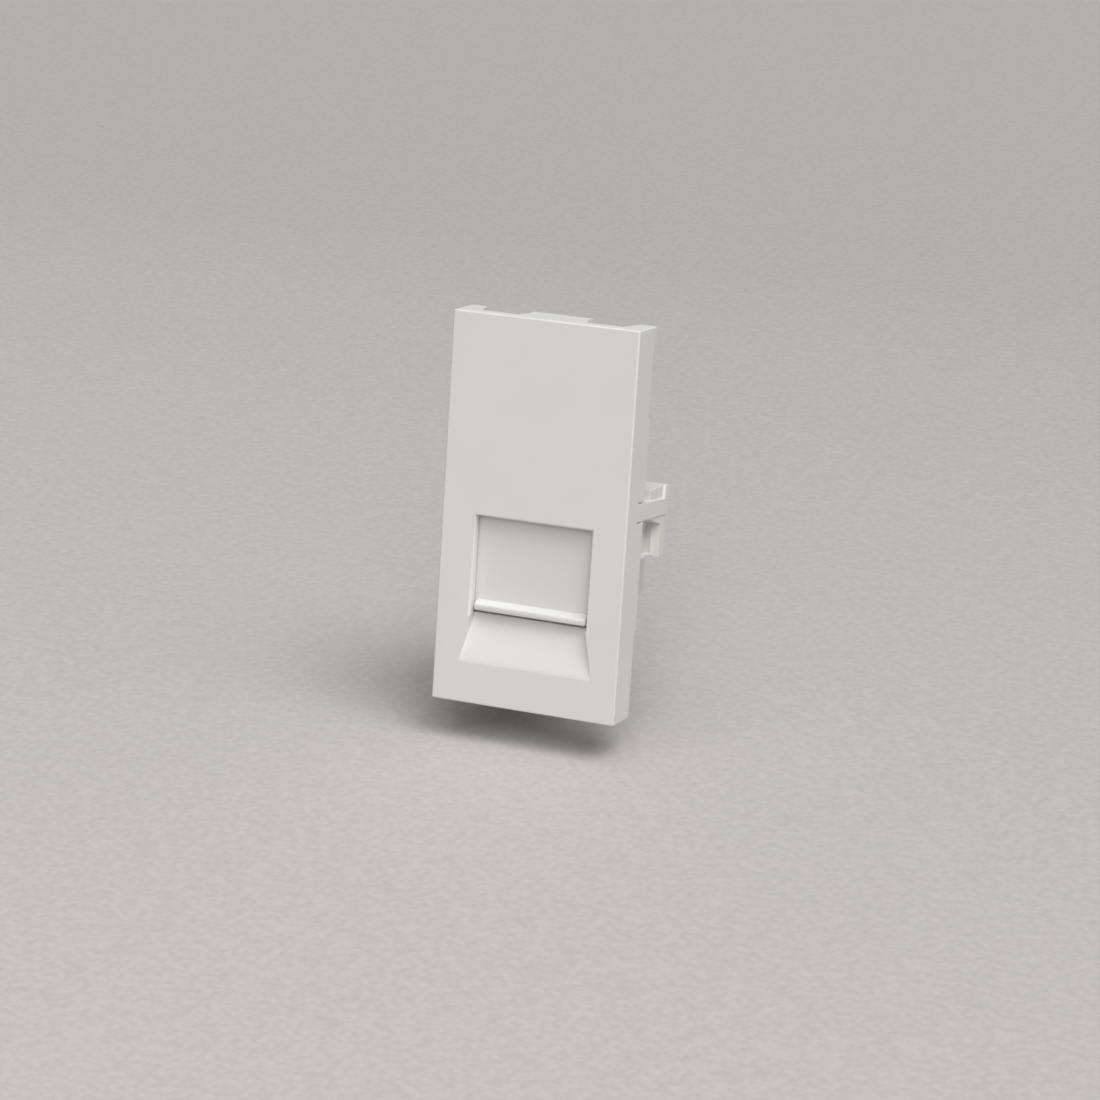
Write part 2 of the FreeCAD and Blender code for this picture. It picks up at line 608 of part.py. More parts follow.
# Circuit board
def circuit_board():
    wide = box(-BOARD_HALF, BOARD_HALF, BOARD_FRONT, BOARD_SHOULDER, BOARD_BOTTOM, BOARD_TOP)
    tail = box(-BOARD_TAIL_HALF, BOARD_TAIL_HALF, BOARD_FRONT, BOARD_TAIL_END, BOARD_BOTTOM, BOARD_TOP)
    depth = BOARD_T + 2 * OVERRUN
    holes = []
    for index, x in enumerate(spread(CONTACTS, CONTACT_PITCH)):
        foot = V(x, tail_row(index), BOARD_BOTTOM - OVERRUN)
        holes.append(Part.makeCylinder(WIRE_R + HOLE_GAP, depth, foot))
    leg_r = math.hypot(BAR_LEG_W, BAR_T) / 2 + HOLE_GAP
    for x in spread(CONTACTS, POLE_PITCH):
        holes.append(Part.makeCylinder(leg_r, depth, V(x, BAR_FRONT + BAR_T / 2, BOARD_BOTTOM - OVERRUN)))
    for x in (-PEG_X, PEG_X):
        holes.append(Part.makeCylinder(PEG_R + PEG_GAP, depth, V(x, PEG_Y, BOARD_BOTTOM - OVERRUN)))
    return single(cut_all(fuse_all([wide, tail]), holes))


# Screw terminals: housing, fixed bars, rising cages and captive screws
def wire_entry(x):
    """Square wire entry in the rear face, flared at its mouth."""
    floor = CAGE_BOTTOM + CAGE_FLOOR
    mouth = BLOCK_REAR - ENTRY_FLARE
    hole = box(x - ENTRY_W / 2, x + ENTRY_W / 2, SCREW_Y, BLOCK_REAR + OVERRUN, floor, floor + ENTRY_H)
    loops = []
    for y, grow in ((mouth, 0.0), (BLOCK_REAR, ENTRY_FLARE)):
        x0 = x - ENTRY_W / 2 - grow
        x1 = x + ENTRY_W / 2 + grow
        z0 = floor - grow
        z1 = floor + ENTRY_H + grow
        corners = [V(x0, y, z0), V(x1, y, z0), V(x1, y, z1), V(x0, y, z1)]
        loops.append(Part.makePolygon(corners + corners[:1]))
    return [hole, Part.makeLoft(loops, True, True)]


def terminal_housing():
    block = box(-BLOCK_HALF, BLOCK_HALF, BLOCK_FRONT, BLOCK_REAR, BOARD_TOP, BLOCK_TOP)
    top_rear = [e for e in edges_on(block, 2, BLOCK_TOP) if e.BoundBox.YMin > BLOCK_REAR - MERGE]
    block = block.makeChamfer(BLOCK_CHAMFER, top_rear)
    room_half = (POLE_PITCH - POLE_WALL) / 2
    room_front = SCREW_Y - CAGE_D / 2 - CAGE_GAP
    room_rear = SCREW_Y + CAGE_D / 2 + CAGE_GAP
    cuts = []
    for x in spread(CONTACTS, POLE_PITCH):
        cuts.append(box(x - room_half, x + room_half, room_front, room_rear,
                        BOARD_TOP - OVERRUN, POLE_ROOM_TOP))
        slot_half = BAR_W / 2 + BAR_GAP
        cuts.append(box(x - slot_half, x + slot_half, BAR_FRONT - BAR_GAP, room_front + MERGE,
                        BOARD_TOP - OVERRUN, BAR_TOP + BAR_GAP))
        head_room = HEAD_ROOM_TOP - POLE_ROOM_TOP + MERGE
        cuts.append(Part.makeCylinder(HEAD_R + HEAD_GAP, head_room, V(x, SCREW_Y, POLE_ROOM_TOP - MERGE)))
        cuts.append(Part.makeCylinder(LID_HOLE_R, LID_T + OVERRUN, V(x, SCREW_Y, HEAD_ROOM_TOP - MERGE)))
        cuts += wire_entry(x)
    return single(cut_all(block, cuts))


def terminal_bar(x):
    tongue_end = SCREW_Y + CAGE_D / 2
    tongue = box(x - BAR_W / 2, x + BAR_W / 2, BAR_FRONT, tongue_end, BAR_BOTTOM, BAR_TOP)
    leg = box(x - BAR_LEG_W / 2, x + BAR_LEG_W / 2, BAR_FRONT, BAR_FRONT + BAR_T,
              BOARD_BOTTOM - BAR_BELOW, BAR_TOP)
    return single(fuse_all([tongue, leg]))


def terminal_cage(x):
    front = SCREW_Y - CAGE_D / 2
    rear = SCREW_Y + CAGE_D / 2
    ring = box(x - CAGE_W / 2, x + CAGE_W / 2, front, rear, CAGE_BOTTOM, CAGE_TOP)
    wire_room = box(x - WIRE_ROOM_W / 2, x + WIRE_ROOM_W / 2, front - OVERRUN, rear + OVERRUN,
                    CAGE_BOTTOM + CAGE_FLOOR, CAGE_TOP - CAGE_CROWN)
    thread = Part.makeCylinder(SCREW_R + SCREW_GAP, CAGE_CROWN + 2 * OVERRUN,
                               V(x, SCREW_Y, CAGE_TOP - CAGE_CROWN - OVERRUN))
    return single(cut_all(ring, [wire_room, thread]))


def terminal_screw(x):
    tip = BAR_TOP + SCREW_GAP
    shank = Part.makeCylinder(SCREW_R, HEAD_BOTTOM + MERGE - tip, V(x, SCREW_Y, tip))
    head = Part.makeCylinder(HEAD_R, HEAD_H, V(x, SCREW_Y, HEAD_BOTTOM))
    head_top = HEAD_BOTTOM + HEAD_H
    slot = box(x - DRIVER_SLOT_W / 2, x + DRIVER_SLOT_W / 2, SCREW_Y - 2 * HEAD_R, SCREW_Y + 2 * HEAD_R,
               head_top - DRIVER_SLOT_D, head_top + OVERRUN)
    return single(cut_all(fuse_all([shank, head]), [slot]))


def module_pieces():
    pieces = {
        "front_plate": front_plate(),
        "shutter": shutter(),
        "shutter_spring_left": closing_spring(-SPRING_X),
        "shutter_spring_right": closing_spring(SPRING_X),
        "carrier": carrier(),
        "circuit_board": circuit_board(),
        "jack_housing": jack_housing(),
        "contact_comb": contact_comb(),
        "solder_joints": solder_joints(),
        "terminal_housing": terminal_housing(),
    }
    for index, x in enumerate(spread(CONTACTS, CONTACT_PITCH)):
        pieces[f"contact_wire_{index + 1}"] = contact_wire(index, x)
    for index, x in enumerate(spread(CONTACTS, POLE_PITCH)):
        pieces[f"terminal_bar_{index + 1}"] = terminal_bar(x)
        pieces[f"terminal_cage_{index + 1}"] = terminal_cage(x)
        pieces[f"terminal_screw_{index + 1}"] = terminal_screw(x)
    return pieces


os.makedirs("parts", exist_ok=True)
for name, shape in module_pieces().items():
    shape.exportStep(f"parts/{name}.step")
print("shutter travel", round(SHUTTER_TRAVEL, 3))
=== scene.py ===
import math

import bmesh
import bpy
from mathutils import Matrix, Vector


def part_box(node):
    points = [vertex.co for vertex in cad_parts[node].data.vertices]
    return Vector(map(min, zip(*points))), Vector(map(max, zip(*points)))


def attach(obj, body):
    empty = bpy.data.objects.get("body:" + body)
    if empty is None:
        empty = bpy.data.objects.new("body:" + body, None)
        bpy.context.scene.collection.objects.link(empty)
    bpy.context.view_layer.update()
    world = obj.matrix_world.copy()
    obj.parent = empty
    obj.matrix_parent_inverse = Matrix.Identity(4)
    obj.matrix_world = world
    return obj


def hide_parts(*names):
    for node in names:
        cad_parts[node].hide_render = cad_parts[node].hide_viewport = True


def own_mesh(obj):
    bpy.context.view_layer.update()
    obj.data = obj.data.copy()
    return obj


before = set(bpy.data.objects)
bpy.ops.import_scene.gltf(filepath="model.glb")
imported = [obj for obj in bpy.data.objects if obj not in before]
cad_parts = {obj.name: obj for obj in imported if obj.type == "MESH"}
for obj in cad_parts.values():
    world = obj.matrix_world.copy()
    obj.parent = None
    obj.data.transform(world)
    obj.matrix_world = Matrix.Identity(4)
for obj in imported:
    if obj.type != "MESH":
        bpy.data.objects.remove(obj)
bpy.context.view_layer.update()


# Front plate.
# One injection moulding in warm white plastic with a fine satin face. It snaps into the support
# frame by the tabs at its top and bottom, and everything else hangs on the back of it.
MM = 0.001
PLATE_WHITE = (0.806, 0.804, 0.782)
PLATE_GLOSS = (0.40, 0.50)
MOULD_EDGE = 0.06 * MM
EDGE_STEPS = 2
CORNER_ROOM = 2.0
FACE_ROOM = 2.5
MERGE_DIST = 1e-7
CREASE_MIN = math.radians(35)
ROUND_BEND = (math.radians(0.5), math.radians(50))
ROUND_W = 0.45 * MM
CLOUD_SPAN = (0.3, 0.7)
FINE_DETAIL = 4.0
FLOW_CLOUD = 9 * MM
FLOW_TINTS = (0.985, 1.015)
SPECK_GRID = 1.6 * MM
SPECK_R = 0.035
SPECK_PATCH = 3 * MM
SPECK_PATCH_MIN = 0.6
SPECK_TINT = 0.72
RUB_CLOUD = 5 * MM
GRAIN = 0.15 * MM
GRAIN_DEPTH = 0.004 * MM
PLASTIC_IOR = 1.5


def moulded_shape(node, edge):
    """The CAD shape of a node with the small radius that a mould leaves on its outer edges."""
    shape = bmesh.new()
    shape.from_mesh(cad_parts[node].data)
    bmesh.ops.remove_doubles(shape, verts=shape.verts, dist=MERGE_DIST)
    bmesh.ops.dissolve_limit(shape, angle_limit=ROUND_BEND[0], verts=shape.verts, edges=shape.edges)
    roomy = set()
    for vert in shape.verts:
        if min(e.calc_length() for e in vert.link_edges) > CORNER_ROOM * edge:
            roomy.add(vert)
    outer = []
    for line in shape.edges:
        if not (line.is_manifold and line.is_convex and line.calc_face_angle() >= CREASE_MIN):
            continue
        width = min(f.calc_area() for f in line.link_faces) / line.calc_length()
        if width > FACE_ROOM * edge and set(line.verts) <= roomy:
            outer.append(line)
    bmesh.ops.bevel(shape, geom=outer, offset=edge, offset_type="OFFSET", affect="EDGES",
                    segments=EDGE_STEPS, profile=0.5, material=-1, clamp_overlap=False, loop_slide=False)
    return shape


def corner_normals(shape):
    """Shading normals: flat faces stay flat, and the narrow faces of rounds run smoothly into them."""
    shape.normal_update()
    gentle = math.cos(ROUND_BEND[1])
    rounds = set()
    for face in shape.faces:
        bends = any(ROUND_BEND[0] < e.calc_face_angle(0.0) < ROUND_BEND[1] for e in face.edges)
        if bends and face.calc_area() < ROUND_W * max(e.calc_length() for e in face.edges):
            rounds.add(face)
    normals = []
    for face in shape.faces:
        for corner in face.loops:
            smooth = Vector()
            if face in rounds:
                beside = {*corner.edge.link_faces, *corner.link_loop_prev.edge.link_faces} - rounds
                near = [f for f in beside if f.normal.dot(face.normal) > gentle]
                near = near or [f for f in corner.vert.link_faces if f.normal.dot(face.normal) > gentle]
                smooth = sum((f.normal for f in near), Vector())
            normals.append((smooth if smooth.length > 0 else face.normal).normalized())
    return normals


def fit_piece(name, shape, finish, body, slot, *nodes):
    """Makes a piece of a shape: it rides on its body and stands for its CAD nodes."""
    mesh = bpy.data.meshes.new(name)
    shape.to_mesh(mesh)
    mesh.shade_smooth()
    mesh.normals_split_custom_set(corner_normals(shape))
    shape.free()
    mesh.materials.append(finish)
    piece = bpy.data.objects.new(name, mesh)
    bpy.context.scene.collection.objects.link(piece)
    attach(piece, body)
    if nodes:
        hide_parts(*nodes)
    return piece


def new_finish(name):
    """A material with its tree, its shader and the coordinates of the piece."""
    finish = bpy.data.materials.new(name)
    finish.use_nodes = True
    tree = finish.node_tree
    place = tree.nodes.new("ShaderNodeTexCoord").outputs["Object"]
    return finish, tree, tree.nodes["Principled BSDF"], place


def cloudy(tree, place, size, detail=2.0):
    """Noise with clouds of a given size in metres."""
    noise = tree.nodes.new("ShaderNodeTexNoise")
    noise.inputs["Scale"].default_value = 1 / size
    noise.inputs["Detail"].default_value = detail
    tree.links.new(place, noise.inputs["Vector"])
    return noise.outputs["Fac"]


def spread_over(tree, field, low, high, span=CLOUD_SPAN):
    """A span of a field stretched between two values."""
    stretch = tree.nodes.new("ShaderNodeMapRange")
    stretch.inputs["From Min"].default_value = span[0]
    stretch.inputs["From Max"].default_value = span[1]
    stretch.inputs["To Min"].default_value = low
    stretch.inputs["To Max"].default_value = high
    tree.links.new(field, stretch.inputs["Value"])
    return stretch.outputs["Result"]


def mixed(tree, field, first, second):
    """One colour where the field is 0, another where it is 1; either may be a socket."""
    mix = tree.nodes.new("ShaderNodeMix")
    mix.data_type = "RGBA"
    tree.links.new(field, mix.inputs[0])
    for socket, colour in ((mix.inputs[6], first), (mix.inputs[7], second)):
        if isinstance(colour, tuple):
            socket.default_value = (*colour, 1.0)
        else:
            tree.links.new(colour, socket)
    return mix.outputs[2]


def calculated(tree, operation, first, second):
    """Two fields, or a field and a number, put together."""
    sum_node = tree.nodes.new("ShaderNodeMath")
    sum_node.operation = operation
    for socket, value in zip(sum_node.inputs, (first, second)):
        if isinstance(value, (int, float)):
            socket.default_value = value
        else:
            tree.links.new(value, socket)
    return sum_node.outputs[0]


def shaded(colour, amount):
    """A lighter or darker tone of a colour."""
    return tuple(c * amount for c in colour)


def toned(tree, field, colour, tints):
    """A colour that runs from one tone of itself to another with the field."""
    return mixed(tree, field, shaded(colour, tints[0]), shaded(colour, tints[1]))


def relief(tree, shader, field, depth):
    """Fine surface relief of a given depth in metres."""
    bump = tree.nodes.new("ShaderNodeBump")
    bump.inputs["Distance"].default_value = depth
    tree.links.new(field, bump.inputs["Height"])
    tree.links.new(bump.outputs["Normal"], shader.inputs["Normal"])


def moulded_plastic(name, colour, gloss):
    """Moulded plastic: faint flow clouds, an eroded grain, rubbed patches and a rare dark speck."""
    finish, tree, shader, place = new_finish(name)
    flow = spread_over(tree, cloudy(tree, place, FLOW_CLOUD), 0.0, 1.0)
    body = toned(tree, flow, colour, FLOW_TINTS)
    specks = tree.nodes.new("ShaderNodeTexVoronoi")
    specks.inputs["Scale"].default_value = 1 / SPECK_GRID
    tree.links.new(place, specks.inputs["Vector"])
    close = calculated(tree, "LESS_THAN", specks.outputs["Distance"], SPECK_R)
    rare = calculated(tree, "GREATER_THAN", cloudy(tree, place, SPECK_PATCH), SPECK_PATCH_MIN)
    speck = calculated(tree, "MULTIPLY", close, rare)
    tree.links.new(mixed(tree, speck, body, shaded(colour, SPECK_TINT)), shader.inputs["Base Color"])
    rubbed = cloudy(tree, place, RUB_CLOUD, FINE_DETAIL)
    tree.links.new(spread_over(tree, rubbed, *gloss), shader.inputs["Roughness"])
    relief(tree, shader, cloudy(tree, place, GRAIN), GRAIN_DEPTH)
    shader.inputs["IOR"].default_value = PLASTIC_IOR
    return finish


plate_satin = moulded_plastic("plate_satin", PLATE_WHITE, PLATE_GLOSS)
fit_piece("front_plate_moulding", moulded_shape("front_plate", MOULD_EDGE), plate_satin,
          "module", "plate_plastic", "front_plate")


# Shutter.
# A flat moulded slide in the plate's white, painted a few percent darker as shade for its place
# sunk behind the window, with a round-edged grip rib along its foot. It runs in the channel behind
# the plate's window and is held there by the carrier.
# The plate's white a few percent darker: painted shade where the slide sits back in the window.
SHUTTER_SHADED_WHITE = (0.773, 0.773, 0.748)
SHUTTER_GLOSS = (0.42, 0.52)
SHUTTER_EDGE = 0.15 * MM
shutter_shaded_satin = moulded_plastic("shutter_shaded_satin", SHUTTER_SHADED_WHITE, SHUTTER_GLOSS)
fit_piece("shutter_moulding", moulded_shape("shutter", SHUTTER_EDGE), shutter_shaded_satin,
          "shutter", "shutter_plastic", "shutter")


# Closing springs.
# Two coils of drawn steel wire with closed ends. Each sits in a pocket in the shutter's top edge
# and pushes up against the ledge on the back of the plate.
SPRING_GREY = (0.52, 0.52, 0.53)
SPRING_COIL_R = 0.675 * MM
SPRING_WIRE_R = 0.125 * MM
SPRING_STEPS = 30
SPRING_RING = 12
END_PITCH = 0.29 * MM
EASE_PITCH = 0.9 * MM
END_TURNS = 1.0
EASE_TURNS = 0.5
OPEN_TURNS = 9.0
WIRE_CLOUD = 0.4 * MM
WIRE_TINTS = (0.85, 1.1)
WIRE_GLOSS_CLOUD = 0.12 * MM
WIRE_GLOSS = (0.22, 0.4)
SCRATCH = 0.05 * MM
SCRATCH_DEPTH = 0.001 * MM


def wire_steel(name, colour):
    """Drawn wire: finely scratched, with slightly uneven tone and gloss."""
    finish, tree, shader, place = new_finish(name)
    tone = spread_over(tree, cloudy(tree, place, WIRE_CLOUD), 0.0, 1.0)
    tree.links.new(toned(tree, tone, colour, WIRE_TINTS), shader.inputs["Base Color"])
    patches = cloudy(tree, place, WIRE_GLOSS_CLOUD)
    tree.links.new(spread_over(tree, patches, *WIRE_GLOSS), shader.inputs["Roughness"])
    relief(tree, shader, cloudy(tree, place, SCRATCH), SCRATCH_DEPTH)
    shader.inputs["Metallic"].default_value = 1.0
    return finish


def drop_inner_faces(shape):
    """Takes out the faces left inside where one run was drawn on from another."""
    inner = [f for f in shape.faces if all(len(e.link_faces) > 2 for e in f.edges)]
    bmesh.ops.delete(shape, geom=inner, context="FACES_ONLY")


def coil_shape(low, high):
    """A coil that fills a CAD node's box from its foot to its top."""
    middle = (low + high) / 2
    foot = low.z + SPRING_WIRE_R
    rise = high.z - low.z - 2 * SPRING_WIRE_R
    open_pitch = (rise - 2 * (END_TURNS * END_PITCH + EASE_TURNS * EASE_PITCH)) / OPEN_TURNS
    lead = math.atan2(open_pitch, 2 * math.pi * SPRING_COIL_R)
    start = Vector((middle.x + SPRING_COIL_R, middle.y, foot))
    across = Matrix.Translation(start) @ Matrix.Rotation(math.pi / 2 + lead, 4, "X")
    shape = bmesh.new()
    bmesh.ops.create_circle(shape, cap_ends=True, segments=SPRING_RING, radius=SPRING_WIRE_R,
                            matrix=across)
    tip = list(shape.faces)
    runs = [(END_TURNS, END_PITCH), (EASE_TURNS, EASE_PITCH), (OPEN_TURNS, open_pitch)]
    runs += [(EASE_TURNS, EASE_PITCH), (END_TURNS, END_PITCH)]
    for turns, pitch in runs:
        steps = round(turns * SPRING_STEPS)
        turned = bmesh.ops.spin(shape, geom=tip, cent=middle, axis=(0, 0, 1), steps=steps,
                                angle=2 * math.pi * turns, dvec=(0, 0, pitch / SPRING_STEPS),
                                use_merge=False, use_duplicate=False)
        tip = [g for g in turned["geom_last"] if isinstance(g, bmesh.types.BMFace)]
    drop_inner_faces(shape)
    bmesh.ops.recalc_face_normals(shape, faces=shape.faces)
    return shape


spring_wire = wire_steel("spring_wire", SPRING_GREY)
for side in ("left", "right"):
    node = f"shutter_spring_{side}"
    low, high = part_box(node)
    coil = fit_piece(f"closing_coil_{side}", coil_shape(low, high), spring_wire,
                     "module", "spring_steel", node)
    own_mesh(coil)


# Carrier.
# A plain moulding in off white that clips in behind the plate. Its arms show in the slots of the
# side walls, and its cheeks hold the circuit board in two grooves.
CARRIER_WHITE = (0.795, 0.783, 0.757)
CARRIER_GLOSS = (0.44, 0.58)
carrier_satin = moulded_plastic("carrier_satin", CARRIER_WHITE, CARRIER_GLOSS)
fit_piece("carrier_moulding", moulded_shape("carrier", MOULD_EDGE), carrier_satin,
          "module", "carrier_plastic", "carrier")


# Circuit board.
# Glass laminate under a green solder mask, slid into the carrier's grooves and held by two snap
# wedges. Raised tracks lead from the contact tails to small holes filled with tin, by the terminals.
BOARD_GREEN = (0.022, 0.150, 0.060)
TRACK_GREEN = (0.045, 0.230, 0.090)
TIN = (0.72, 0.71, 0.68)
VIA_GLOSS = (0.25, 0.4)
MASK_CLOUD = 2 * MM
MASK_TINTS = (0.88, 1.1)
MASK_GLOSS_CLOUD = 0.7 * MM
MASK_GLOSS = (0.24, 0.36)
WEAVE_PITCH = 0.5 * MM
WAVE_BAND = 0.314
WEAVE_WOBBLE = 0.4
WEAVE_SHOWS = 0.35
WEAVE_TINT = 1.5
WEAVE_DEPTH = 0.003 * MM
PLATING_CLOUD = 0.6 * MM
PLATING_TINTS = (0.86, 1.05)
GLOSS_PER_CLOUD = 3
PITS_PER_CLOUD = 8
PIT_DEPTH = 0.0015 * MM
BOARD_EDGE = 0.06 * MM
TRACK_W = 0.45 * MM
TRACK_T = 0.035 * MM
TRACK_SUNK = 0.02 * MM
VIA_R = 0.36 * MM
VIA_HOLE_R = 0.17 * MM
VIA_PROUD = 0.05 * MM
VIA_INSET = 0.22 * MM
RING_FACETS = 28
RING_SINK = 0.7
VIA_Y = 12.75 * MM
CONTACT_X = tuple(x * MM for x in (-1.53, -0.51, 0.51, 1.53))
TAIL_Y = tuple(y * MM for y in (14.2, 16.7, 14.2, 16.7))
VIA_X = tuple(x * MM for x in (-4.2, -1.5, 1.5, 4.2))


def solder_mask(name, colour):
    """Lacquer over woven glass: a faint square weave shows through it."""
    finish, tree, shader, place = new_finish(name)
    weave = []
    for axis in ("X", "Y"):
        wave = tree.nodes.new("ShaderNodeTexWave")
        wave.bands_direction = axis
        wave.inputs["Scale"].default_value = WAVE_BAND / WEAVE_PITCH
        wave.inputs["Distortion"].default_value = WEAVE_WOBBLE
        tree.links.new(place, wave.inputs["Vector"])
        weave.append(wave.outputs["Fac"])
    glass = calculated(tree, "MULTIPLY", *weave)
    clouds = spread_over(tree, cloudy(tree, place, MASK_CLOUD), 0.0, 1.0)
    lacquer = toned(tree, clouds, colour, MASK_TINTS)
    faint = spread_over(tree, glass, 0.0, WEAVE_SHOWS, (0.0, 1.0))
    tree.links.new(mixed(tree, faint, lacquer, shaded(colour, WEAVE_TINT)), shader.inputs["Base Color"])
    patches = cloudy(tree, place, MASK_GLOSS_CLOUD)
    tree.links.new(spread_over(tree, patches, *MASK_GLOSS), shader.inputs["Roughness"])
    relief(tree, shader, glass, WEAVE_DEPTH)
    return finish


def plated_metal(name, colour, gloss, cloud=PLATING_CLOUD, depth=PIT_DEPTH):
    """Plated metal: a dull bloom in patches over a finely pitted surface."""
    finish, tree, shader, place = new_finish(name)
    bloom = spread_over(tree, cloudy(tree, place, cloud, FINE_DETAIL), 0.0, 1.0)
    tree.links.new(toned(tree, bloom, colour, PLATING_TINTS), shader.inputs["Base Color"])
    patches = cloudy(tree, place, cloud / GLOSS_PER_CLOUD)
    tree.links.new(spread_over(tree, patches, *gloss), shader.inputs["Roughness"])
    relief(tree, shader, cloudy(tree, place, cloud / PITS_PER_CLOUD), depth)
    shader.inputs["Metallic"].default_value = 1.0
    return finish


def track_strip(shape, points):
    """A flat track drawn on from point to point, with a mitre at each bend, and then raised."""
    runs = [(end - start).normalized() for start, end in zip(points, points[1:])]
    mitres = [before + after for before, after in zip(runs, runs[1:])] + runs[-1:]
    across = TRACK_W / 2 * Vector((-runs[0].y, runs[0].x, 0))
    tip = [shape.verts.new(points[0] + across), shape.verts.new(points[0] - across)]
    edge = shape.edges.new(tip)
    flat = []
    for point, run, mitre in zip(points[1:], runs, mitres):
        drawn = bmesh.ops.extrude_edge_only(shape, edges=[edge])["geom"]
        tip = [g for g in drawn if isinstance(g, bmesh.types.BMVert)]
        flat += [g for g in drawn if isinstance(g, bmesh.types.BMFace)]
        for vert in tip:
            vert.co += run * (point - vert.co).dot(mitre) / run.dot(mitre)
        edge = shape.edges.get(tip)
    raised = bmesh.ops.extrude_face_region(shape, geom=flat)["geom"]
    lifted = [g for g in raised if isinstance(g, bmesh.types.BMVert)]
    bmesh.ops.translate(shape, verts=lifted, vec=(0, 0, TRACK_T + TRACK_SUNK))
    bmesh.ops.recalc_face_normals(shape, faces=shape.faces)


def raised_ring(shape, place, outer, inner, proud):
    """A flat round rim with a sunk middle on a face; place turns Z to the face's outer side."""
    middle = place @ Matrix.Translation((0, 0, (proud - TRACK_SUNK) / 2))
    disc = bmesh.ops.create_cone(shape, cap_ends=True, segments=RING_FACETS, radius1=outer,
                                 radius2=outer, depth=proud + TRACK_SUNK, matrix=middle)
    shape.normal_update()
    outward = place.col[2].to_3d()
    around = {f for v in disc["verts"] for f in v.link_faces}
    rim = next(f for f in around if f.normal.dot(outward) > 0.5)
    bmesh.ops.inset_region(shape, faces=[rim], thickness=outer - inner, use_even_offset=True)
    sunk = bmesh.ops.extrude_face_region(shape, geom=[rim])
    hole = [g for g in sunk["geom"] if isinstance(g, bmesh.types.BMVert)]
    bmesh.ops.translate(shape, verts=hole, vec=-RING_SINK * proud * outward)
    drop_inner_faces(shape)
    bmesh.ops.recalc_face_normals(shape, faces=shape.faces)


board_mask = solder_mask("board_mask", BOARD_GREEN)
track_mask = solder_mask("track_mask", TRACK_GREEN)
via_tin = plated_metal("via_tin", TIN, VIA_GLOSS)
fit_piece("laminate_board", moulded_shape("circuit_board", BOARD_EDGE), board_mask,
          "module", "board_laminate", "circuit_board")
board_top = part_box("circuit_board")[1].z
tracks = bmesh.new()
vias = bmesh.new()
track_foot = board_top - TRACK_SUNK
for x, y, via_x in zip(CONTACT_X, TAIL_Y, VIA_X):
    aside = via_x - x
    ahead = y - VIA_Y
    bend = Vector((x, VIA_Y + abs(aside), track_foot))
    if abs(aside) > ahead:
        bend = Vector((x + math.copysign(ahead, aside), VIA_Y, track_foot))
    via = Vector((via_x, VIA_Y, track_foot))
    track_end = via + VIA_INSET * (bend - via).normalized()
    track_strip(tracks, [Vector((x, y, track_foot)), bend, track_end])
    raised_ring(vias, Matrix.Translation((via_x, VIA_Y, board_top)), VIA_R, VIA_HOLE_R, VIA_PROUD)
fit_piece("board_tracks", tracks, track_mask, "module", "board_laminate")
fit_piece("board_plated_holes", vias, via_tin, "module", "solder")


# Jack housing.
# The six-position jack's body, moulded in pale grey. It stands under the board with two pegs
# through it, and its mouth is behind the plate's window. The mould thins its back wall by a shallow
# panel, in which two ejector pins have left their rings.
JACK_GREY = (0.720, 0.728, 0.700)
JACK_GLOSS = (0.38, 0.52)
PANEL_BORDER = 1.3 * MM
PANEL_DEPTH = 0.2 * MM
PIN_R = 0.8 * MM
PIN_BORE_R = 0.66 * MM
PIN_PROUD = 0.04 * MM
PIN_REACH = 0.62


def sink_panel(shape, border, depth):
    """Sinks a panel with sloping sides into the largest face at the back, and gives its middle."""
    shape.normal_update()
    back = max((f for f in shape.faces if f.normal.y > 0.99), key=lambda f: f.calc_area())
    bmesh.ops.inset_region(shape, faces=[back], thickness=border, use_even_offset=True)
    bmesh.ops.inset_region(shape, faces=[back], thickness=depth, depth=-depth, use_even_offset=True)
    return back.calc_center_median()


jack_satin = moulded_plastic("jack_satin", JACK_GREY, JACK_GLOSS)
jack = moulded_shape("jack_housing", MOULD_EDGE)
panel = sink_panel(jack, PANEL_BORDER, PANEL_DEPTH)
fit_piece("jack_moulding", jack, jack_satin, "module", "jack_plastic", "jack_housing")
pin_marks = bmesh.new()
for side in (-1, 1):
    mark = Matrix.Translation((side * PIN_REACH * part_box("jack_housing")[1].x, panel.y, panel.z))
    raised_ring(pin_marks, mark @ Matrix.Rotation(-math.pi / 2, 4, "X"), PIN_R, PIN_BORE_R, PIN_PROUD)
fit_piece("jack_pin_marks", pin_marks, jack_satin, "module", "jack_plastic")


# Contact comb.
# A black moulded insert pressed into the back of the jack. Its slots keep the sprung ends of the
# contact wires apart.
COMB_BLACK = (0.030, 0.030, 0.032)
COMB_GLOSS = (0.36, 0.5)
comb_satin = moulded_plastic("comb_satin", COMB_BLACK, COMB_GLOSS)
fit_piece("comb_moulding", moulded_shape("contact_comb", BOARD_EDGE), comb_satin,
          "module", "comb_plastic", "contact_comb")


# Contact wires.
# Four gilt copper-alloy wires, each bent from one length: a tail through the board, a run along
# the jack's roof, a hairpin, and a sprung end that slopes down into the plug's way.
GILT = (0.83, 0.58, 0.20)
GILT_GLOSS = (0.18, 0.32)
GILT_CLOUD = 0.5 * MM
GILT_PIT_DEPTH = 0.0008 * MM
WIRE_R = 0.225 * MM
WIRE_RING = 16
TAIL_TOP = 2.6 * MM
ROOF_RUN_Z = -0.65 * MM
TAIL_BEND_R = 0.5 * MM
TAIL_BEND_STEPS = 10
HAIRPIN_R = 0.55 * MM
HAIRPIN_STEPS = 20
HAIRPIN_Y = 5.3 * MM
CONTACT_SLOPE = math.radians(18)
CONTACT_L = 8.3 * MM
WIRE_END_EDGE = 0.07 * MM


